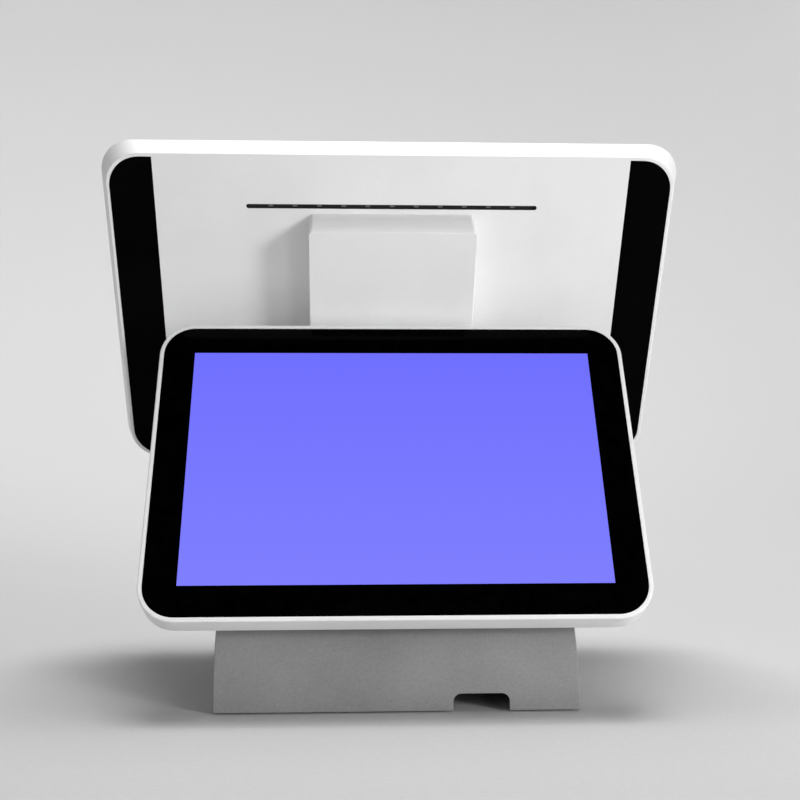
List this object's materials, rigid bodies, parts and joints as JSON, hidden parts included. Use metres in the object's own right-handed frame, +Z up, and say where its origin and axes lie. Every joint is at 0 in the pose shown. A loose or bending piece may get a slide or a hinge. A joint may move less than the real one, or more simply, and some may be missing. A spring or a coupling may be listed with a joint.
{
  "type": "pos touchscreen terminal",
  "caption": "Counter-top till terminal: operator touchscreen and smaller customer display, back to back, each tilting on a hinge over a quarter-round base.",
  "frame": {"origin": "middle of the object's outline on the counter, under its feet", "axes": "+Z up; the customer stands on the -Y side and the operator on the +Y side; +X along the screens' widths, to the right of the customer looking at their display"},
  "size_m": [0.39, 0.2129, 0.3597],
  "materials": {
    "white_plastic": "fine matt moulded ABS",
    "black_panel": "gloss",
    "black_glass": "glass printed black behind its border, gloss",
    "display_module": "plated steel edge",
    "foam_tape": "soft foam",
    "steel_sheet": "zinc plated sheet",
    "steel_fasteners": "plated",
    "aluminium_casting": "as cast",
    "aluminium_fins": "extruded",
    "bronze_bush": "sintered bronze",
    "circuit_board": "green solder mask",
    "black_plastic": "matt moulded",
    "rubber_foot": "matt",
    "vent_mesh": "woven mesh",
    "base_paint": "black powder coat"
  },
  "bodies": {
    "stand": {"base_shell": "white_plastic", "base_plate": "base_paint", "rubber_feet": "rubber_foot", "column_arm": "aluminium_casting", "customer_bracket": "aluminium_casting", "tilt_bushes": "bronze_bush", "column_front_cover": "white_plastic", "column_rear_cover": "white_plastic", "pedestal_front_cover": "white_plastic", "pedestal_rear_cover": "white_plastic", "stand_bolts": "steel_fasteners", "stand_screws": "steel_fasteners", "port_panel": "steel_sheet", "port_board": "circuit_board", "power_socket": "black_plastic", "usb_sockets": "steel_sheet", "network_socket": "black_plastic"},
    "main_head": {"main_rear_cover": "white_plastic", "side_strip_right": "black_panel", "side_strip_left": "black_panel", "vent_mesh": "vent_mesh", "mainboard": "circuit_board", "heat_sink": "aluminium_fins", "memory_card": "circuit_board", "solid_state_drive": "circuit_board", "speaker_right": "black_plastic", "speaker_left": "black_plastic", "power_switch": "black_plastic", "main_glass": "black_glass", "main_glass_tape": "foam_tape", "main_display": "display_module", "main_front_frame": "white_plastic", "main_chassis": "steel_sheet", "main_screws": "steel_fasteners", "main_hinge_cover": "white_plastic", "main_hinge_bracket": "steel_sheet", "main_bracket_bolts": "steel_fasteners", "main_tilt_shaft": "steel_fasteners", "main_tilt_washers": "steel_fasteners", "main_tilt_nuts": "steel_fasteners"},
    "power_button": {"power_button": "white_plastic"},
    "customer_head": {"customer_rear_cover": "white_plastic", "customer_driver_board": "circuit_board", "customer_glass": "black_glass", "customer_glass_tape": "foam_tape", "customer_display": "display_module", "customer_front_frame": "white_plastic", "customer_chassis": "steel_sheet", "customer_screws": "steel_fasteners", "customer_hinge_cover": "white_plastic", "customer_hinge_bracket": "steel_sheet", "customer_bracket_bolts": "steel_fasteners", "customer_tilt_shaft": "steel_fasteners", "customer_tilt_washers": "steel_fasteners", "customer_tilt_nuts": "steel_fasteners"}
  },
  "joints": [
    {"name": "main_tilt", "type": "hinge", "parent": "stand", "child": "main_head", "pos_m": [0, 0.05376, 0.18153], "axis": [-1, 0, 0], "range_deg": [0, 24]},
    {"name": "customer_tilt", "type": "hinge", "parent": "stand", "child": "customer_head", "pos_m": [0, -0.051, 0.09611], "axis": [1, 0, 0], "range_deg": [0, 10]},
    {"name": "power_button", "type": "slide", "parent": "main_head", "child": "power_button", "axis": [0, -0.4772, 0.8788], "range_m": [0, 0.0008], "stiffness_N_per_m": 500}
  ]
}
